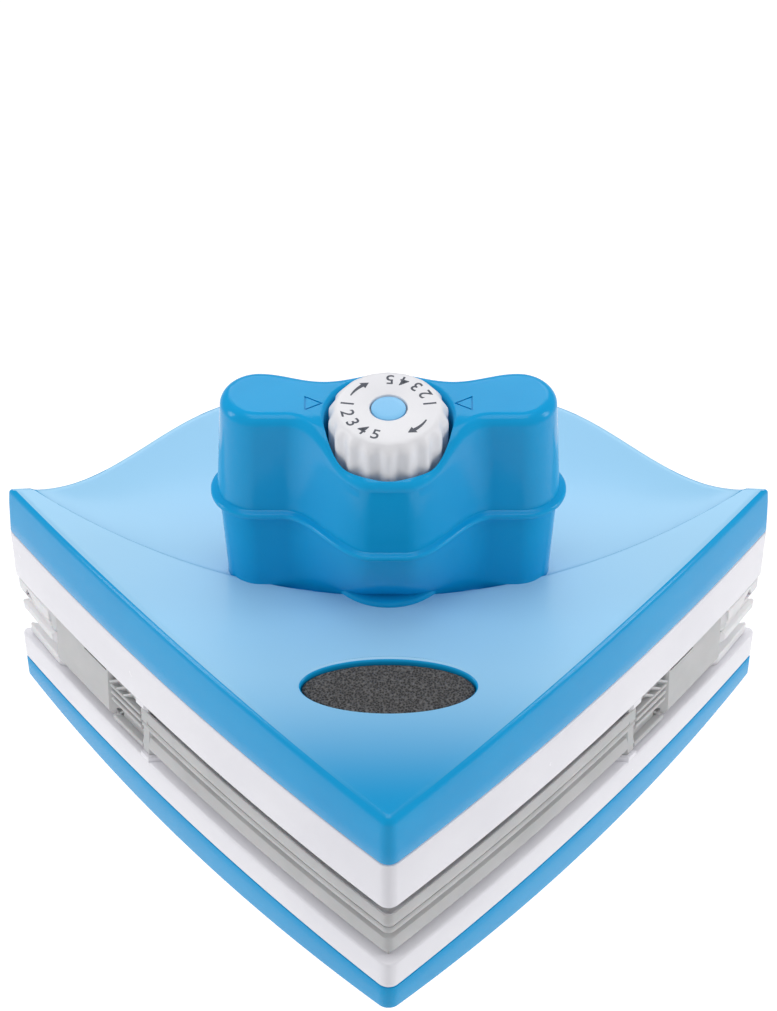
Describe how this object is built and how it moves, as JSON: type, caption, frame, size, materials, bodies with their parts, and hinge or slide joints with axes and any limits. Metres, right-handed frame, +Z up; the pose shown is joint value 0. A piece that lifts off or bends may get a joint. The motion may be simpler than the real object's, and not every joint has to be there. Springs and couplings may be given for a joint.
{
  "type": "magnetic glass cleaner",
  "caption": "Double-sided magnetic glass cleaner: two kite-shaped wiping units held face to face by magnets, with a handle and a dial that sets the pull.",
  "frame": {"origin": "on the dial's axis, in the flat face under the inner unit's grip that the pair stands on", "axes": "+Z up through the dial, -Y towards the front corner, +X to the right tip seen from the front corner with +Z up"},
  "size_m": [0.1734, 0.1315, 0.132],
  "materials": {
    "blue_shell": "glossy moulded, sky blue",
    "white_shell": "glossy moulded, cool white",
    "knob_white": "satin white with dark grey numbers",
    "badge_blue": "pale blue plug, satin",
    "soft_rubber": "translucent grey silicone",
    "wiping_fleece": "white short-pile microfibre",
    "dark_sponge": "open-cell foam, charcoal",
    "fastener_steel": "zinc plated",
    "yoke_steel": "plain rolled steel",
    "magnet_nickel": "nickel plated",
    "carrier_plastic": "natural acetal"
  },
  "bodies": {
    "inner_unit": {"inner_grip": "blue_shell", "inner_cover": "blue_shell", "inner_base": "white_shell", "inner_yoke_plate": "yoke_steel", "inner_magnet_1": "magnet_nickel", "inner_magnet_2": "magnet_nickel", "inner_magnet_3": "magnet_nickel", "inner_magnet_4": "magnet_nickel", "inner_wiping_pad": "wiping_fleece", "inner_blade": "soft_rubber", "inner_rib_joint_left": "soft_rubber", "inner_lip_left": "soft_rubber", "inner_corner_tab_left": "soft_rubber", "inner_rib_joint_right": "soft_rubber", "inner_lip_right": "soft_rubber", "inner_corner_tab_right": "soft_rubber", "inner_screw_1": "fastener_steel", "inner_screw_2": "fastener_steel", "inner_screw_3": "fastener_steel", "inner_screw_4": "fastener_steel", "yoke_screw_1": "fastener_steel", "yoke_screw_2": "fastener_steel", "grip_screw_1": "fastener_steel", "grip_screw_2": "fastener_steel"},
    "outer_unit": {"outer_cover": "blue_shell", "handle_base": "blue_shell", "handle_cap": "blue_shell", "outer_base": "white_shell", "water_sponge": "dark_sponge", "outer_wiping_pad": "wiping_fleece", "outer_blade": "soft_rubber", "outer_rib_joint_left": "soft_rubber", "outer_seal_block_left": "soft_rubber", "outer_corner_tab_left": "soft_rubber", "outer_rib_joint_right": "soft_rubber", "outer_seal_block_right": "soft_rubber", "outer_corner_tab_right": "soft_rubber", "outer_screw_1": "fastener_steel", "outer_screw_2": "fastener_steel", "outer_screw_3": "fastener_steel", "outer_screw_4": "fastener_steel", "handle_screw_1": "fastener_steel", "handle_screw_2": "fastener_steel", "detent_spring": "fastener_steel"},
    "dial": {"knob": "knob_white", "knob_badge": "badge_blue", "knob_screw": "fastener_steel", "cam_spindle": "carrier_plastic"},
    "carrier": {"magnet_carrier": "carrier_plastic", "outer_yoke_plate": "yoke_steel", "outer_magnet_1": "magnet_nickel", "outer_magnet_2": "magnet_nickel", "outer_magnet_3": "magnet_nickel", "outer_magnet_4": "magnet_nickel", "follower_pin_1": "fastener_steel", "follower_pin_2": "fastener_steel"}
  },
  "joints": [
    {"name": "unit_separation", "type": "slide", "parent": "inner_unit", "child": "outer_unit", "axis": [0, 0, 1], "range_m": [0, 0.12]},
    {"name": "knob_turn", "type": "hinge", "parent": "outer_unit", "child": "dial", "pos_m": [0, 0, 0.1235], "axis": [0, 0, 1], "range_deg": [-80, 0]},
    {"name": "magnet_lift", "type": "slide", "parent": "outer_unit", "child": "carrier", "axis": [0, 0, 1], "range_m": [-0.008, 0]}
  ],
  "couplings": [
    {"joint": "magnet_lift", "follows": "knob_turn", "m_per_rad": 0.0057295}
  ]
}
